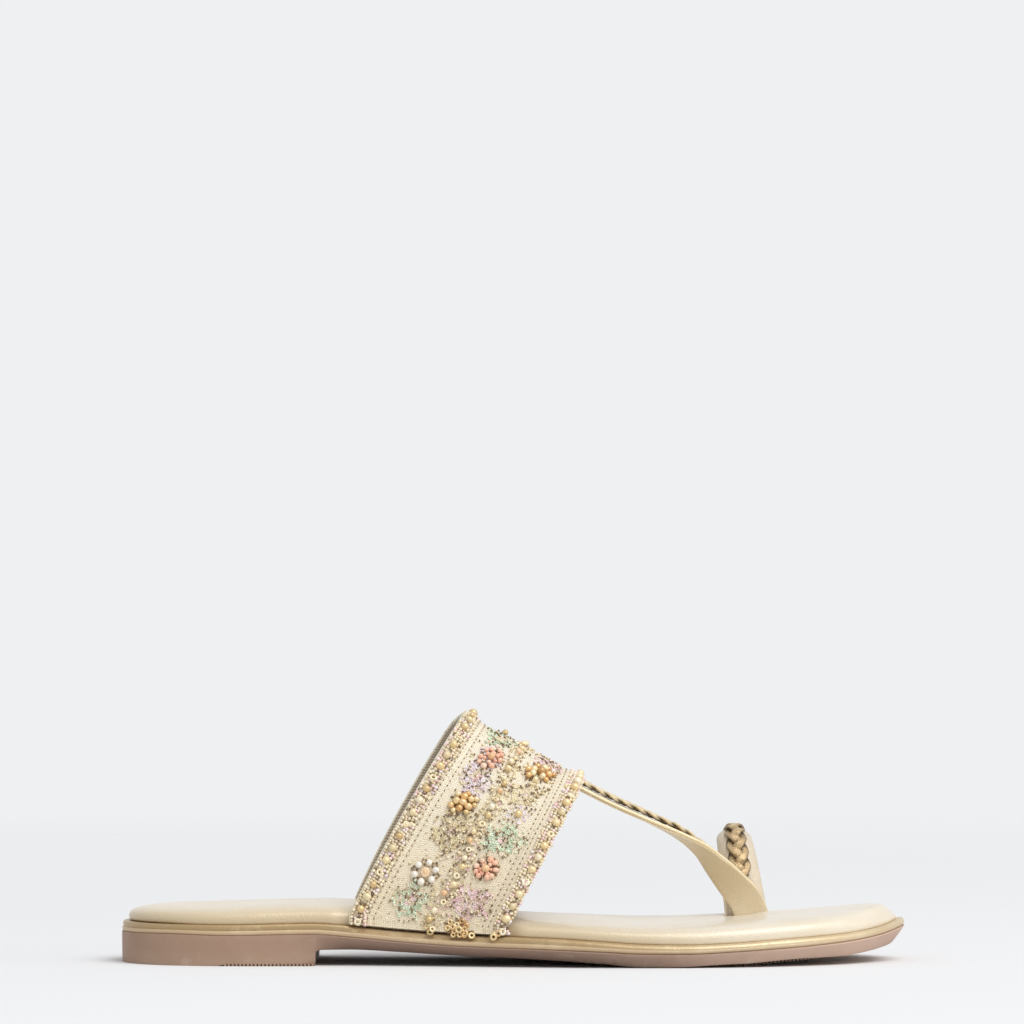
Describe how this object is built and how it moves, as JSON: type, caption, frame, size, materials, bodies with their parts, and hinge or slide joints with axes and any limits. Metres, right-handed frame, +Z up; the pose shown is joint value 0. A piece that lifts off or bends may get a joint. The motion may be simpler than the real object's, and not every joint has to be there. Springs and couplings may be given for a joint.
{
  "type": "kolhapuri sandal",
  "caption": "Flat slip-on kolhapuri sandal, right shoe: beaded vamp band, centre strap turned on edge, braided toe ring, padded footbed on a low-heeled sole.",
  "frame": {"origin": "on the ground, under the middle of the sole's bounding box", "axes": "+X from heel to toe, +Y to the inner (big toe) side, +Z up"},
  "size_m": [0.25, 0.0877, 0.0788],
  "materials": {
    "outsole_rubber": "matt moulded, dusty rose brown",
    "rim_foil": "metallic gold foil, satin",
    "footbed_cover": "soft pale gold, slight sheen",
    "upper_canvas": "coarse natural weave with beads and sequins; strap and ring in smooth pale gold leather",
    "braid_leather": "antique gold, plaited"
  },
  "bodies": {
    "root": {"outsole": "outsole_rubber", "rim": "rim_foil", "footbed": "footbed_cover", "upper": "upper_canvas", "strap_braid": "braid_leather", "loop_braid": "braid_leather"}
  },
  "joints": []
}
